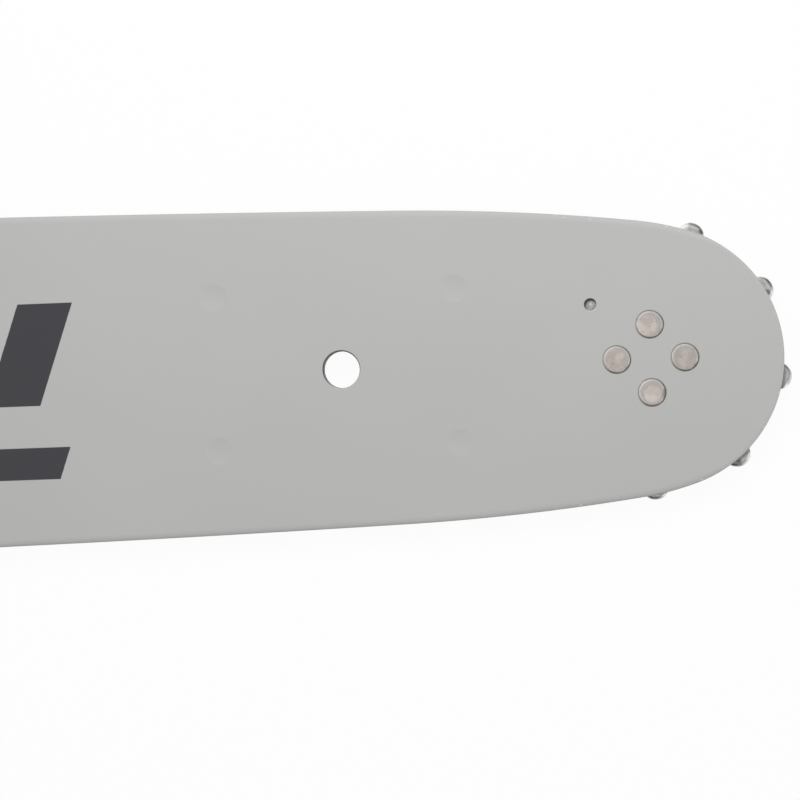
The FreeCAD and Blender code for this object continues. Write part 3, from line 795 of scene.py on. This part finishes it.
# From where to where a painted highlight lies on a head's rim, and over which stretch painted
# shade takes its place
RIM_HIGHLIGHT_BAND = (1.95, 2.2)
HEAD_SHADE_FROM = (2.24, 2.3)
HEAD_TONES = ((0.61, 0.548, 0.503), (0.74, 0.67, 0.625))
HEAD_SKIN = (0.59, 0.562, 0.528, 1)
RIM_HIGHLIGHT_STEEL = (0.9, 0.86, 0.82, 1)
PITTED = (0.34, 0.28, 0.25, 1)
# Each head's brightness, the flat that is ground bare on it, and a patch of painted shade along
# its rim. A flat and a shaded patch have an angle, a distance from the head's middle and a reach.
HEAD_LOOKS = (
    (0.96, (260.0, 0.3, 1.9), (-40.0, 5.0, 3.15)),
    (1.1, (215.0, 0.45, 1.95), (-35.0, 5.0, 3.15)),
    (1.03, (200.0, 0.2, 2.0), (-42.0, 5.0, 3.15)),
    (1.18, (280.0, 0.4, 1.65), (-8.0, 5.0, 3.35)))
# Step between the heads' grains, so that no two look alike
GRAIN_STEP = Vector((7.3, 3.1, 0.0))


def make_rivet(name, place):
    """Turn a rivet from its half section."""
    upper = [(radius, BAR_HEIGHT - depth) for radius, depth in HEAD_SECTION]
    upper.append((RIVET_SHANK, BAR_HEIGHT - RIVET_FLARE))
    lower = [(radius, BAR_HEIGHT - height) for radius, height in reversed(upper)]
    section = [(0.0, BAR_HEIGHT), *upper, *lower, (0.0, 0.0)]
    rivet = turn_section(name, place, section, RIVET_STEPS)
    finish_shading(rivet)
    return rivet


def mix_rivet_steel(name, place, shift, tone, flat, shade_patch):
    """Bare steel of one rivet with pits and grey skin, a painted highlight and painted shade."""
    steel = new_finish(name, {"Metallic": 1.0})
    grain = steel.noise(0.28, detail=3.0, roughness=0.6, shift=shift)
    cloud = steel.noise(1.5, detail=2.0, shift=shift)
    pits = steel.rise(steel.noise(0.42, detail=1.0, shift=shift), 0.66, 0.76)
    out = steel.away(place.x, place.y)
    # Painted highlight on the rim
    rim = steel.between(out, *RIM_HIGHLIGHT_BAND, 0.06)
    # Painted shade round the head's edge, strongest on one side
    crevice_shade = steel.rise(out, *HEAD_SHADE_FROM) * steel.rivet_shade_share(place)
    angle, distance, reach = flat
    ragged = steel.away(*(place + polar(distance, angle))) + 0.9 * cloud - 0.45
    skin = steel.rise(ragged, reach - 0.4, reach)
    # Painted shade along the rim on one side
    angle, distance, reach = shade_patch
    patch_shade = steel.spot(place + polar(distance, angle), reach, 0.5, 0.75)
    patch_shade = patch_shade * (0.2 + 1.5 * cloud)
    dark, light = ((*(tone * part for part in colour), 1) for colour in HEAD_TONES)
    colour = steel.blend(steel.rise(cloud, 0.35, 0.65), dark, light)
    colour = steel.blend(0.85 * skin, colour, HEAD_SKIN)
    colour = steel.blend((0.8 * cloud + 0.05) * rim, colour, RIM_HIGHLIGHT_STEEL)
    colour = steel.blend(0.35 * pits, colour, PITTED)
    colour = steel.blend(crevice_shade + patch_shade, colour, PAINTED_SHADE_BROWN)
    relief = 0.3 * grain + 0.2 * cloud - 0.5 * pits
    feed(steel, colour, 0.36 + 0.16 * grain + 0.2 * pits, relief, 0.02)
    return steel.owner


for number, (place, looks) in enumerate(zip(RIVET_PLACES, HEAD_LOOKS), start=1):
    rivet = make_rivet(f"nose_rivet_{number}", place)
    rivet_steel = mix_rivet_steel(f"rivet_steel_{number}", place, number * GRAIN_STEP, *looks)
    rivet.data.materials.append(rivet_steel)
    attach(rivet, "bar")
    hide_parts(f"rivet_{number}")

# Table
# A plain white table top. It glows to the camera and in reflections, so that it stays white, and
# still shows a little of the bar's shadow.

TABLE_SIZE = 30.0
TABLE_GAP = 0.05
TABLE_WHITE = (0.85, 0.85, 0.85, 1)
TABLE_GLOW = 0.95

bpy.ops.object.select_all(action="DESELECT")
bpy.ops.mesh.primitive_plane_add(size=TABLE_SIZE, location=(0, 0, -TABLE_GAP * MM))
table = bpy.context.object
table.name = "table_top"
top = Recipe(bpy.data.materials.new("table_white"))
top.shader.inputs["Base Color"].default_value = TABLE_WHITE
top.shader.inputs["Roughness"].default_value = 0.9
seen = top.node("ShaderNodeLightPath", {}, {}, out="Is Camera Ray")
for ray in ("Is Glossy Ray", "Is Transmission Ray"):
    seen = seen.join("MAXIMUM", seen, top.node("ShaderNodeLightPath", {}, {}, out=ray))
glow = top.node("ShaderNodeEmission", {}, {"Color": (1, 1, 1, 1), "Strength": 1.0})
white = Reading(top, top.shader.outputs[0])
mixed = top.node("ShaderNodeMixShader", {}, {0: TABLE_GLOW * seen, 1: white, 2: glow})
top.tree.links.new(mixed.socket, top.tree.nodes["Material Output"].inputs["Surface"])
table.data.materials.append(top.owner)

# Studio light
# A pale ceiling over a dark room is brightest above the tail and the upper rail. The steel reflects
# two screens that stand low, one beyond the nose and the lower rail and one beyond the tail and the
# upper rail. A soft lamp near the nose, beyond the upper rail, lights the bar and isn't seen in it.

# Way from the bar towards the middle of each light part of the room, in the order above, and the
# run of its strength: how near to that way it starts and is full, then its least and its most
ROOM_LIGHTS = (
    ((-0.33, 0.38, 0.864), (0.35, 0.95, 0.05, 0.85)),
    ((0.84, -0.42, 0.34), (0.74, 0.86, 0.0, 1.3)),
    ((-0.68, 0.55, 0.48), (0.76, 0.9, 0.0, 0.4)))
LAMP_PLACE = Vector((310.0, 140.0, 190.0))
LAMP_TARGET = Vector((310.0, 0.0, 0.0))
LAMP_SIZE = (300.0, 80.0)
LAMP_WATTS = 0.28

studio = Recipe(bpy.data.worlds.new("studio"))
bpy.context.scene.world = studio.owner
studio.place = studio.node("ShaderNodeTexCoord", {}, {}, out="Generated")
level = 0.0
for direction, run in ROOM_LIGHTS:
    near = studio.vector("DOT_PRODUCT", studio.place, direction, out="Value")
    level = level + studio.rise(near, *run)
background = studio.tree.nodes["Background"]
background.inputs["Color"].default_value = (1, 1, 1, 1)
studio.tree.links.new(level.socket, background.inputs["Strength"])

bpy.ops.object.light_add(type="AREA", location=LAMP_PLACE * MM)
lamp = bpy.context.object
lamp.name = "soft_lamp"
lamp.data.shape = "RECTANGLE"
lamp.data.size = LAMP_SIZE[0] * MM
lamp.data.size_y = LAMP_SIZE[1] * MM
lamp.data.energy = LAMP_WATTS
lamp.rotation_euler = (LAMP_TARGET - LAMP_PLACE).to_track_quat("-Z", "Y").to_euler()
lamp.visible_camera = False
lamp.visible_glossy = False

# Camera
# It hangs 600 mm over the bar, almost right above the middle of the nose, and leans a little
# towards the tail. The tail is out of the picture on the left. The bar lies turned by two degrees.

# Width of the picture and focal length, in pixels
PICTURE = 800
FOCAL = 3515.13
SENSOR = 36.0
CAMERA_HEIGHT = 600.0
# Pixel that is right under the camera, and the way from there to the middle of the nose
FOOT_PIXEL = (625, 380)
NOSE_FROM_FOOT = Vector((4.3828, 3.716))
BAR_TURN = 2.1122

middle = PICTURE / 2
to_foot = Vector((FOOT_PIXEL[0] - middle, middle - FOOT_PIXEL[1], -FOCAL))
lean = to_foot.rotation_difference(Vector((0, 0, -1))).to_matrix()
turn = Matrix.Rotation(math.radians(-BAR_TURN), 3, "Z")
foot = turn @ Vector((*-NOSE_FROM_FOOT, 0))
eye = Vector((NOSE.x + foot.x, NOSE.y + foot.y, BAR_HEIGHT + CAMERA_HEIGHT)) * MM
camera = bpy.data.objects.new("camera", bpy.data.cameras.new("camera"))
camera.matrix_world = Matrix.Translation(eye) @ (turn @ lean).to_4x4()
camera.data.sensor_width = SENSOR
camera.data.lens = FOCAL / PICTURE * SENSOR
camera.data.clip_start = 10 * MM
bpy.context.collection.objects.link(camera)
bpy.context.scene.camera = camera
bpy.context.scene.view_settings.view_transform = "Standard"
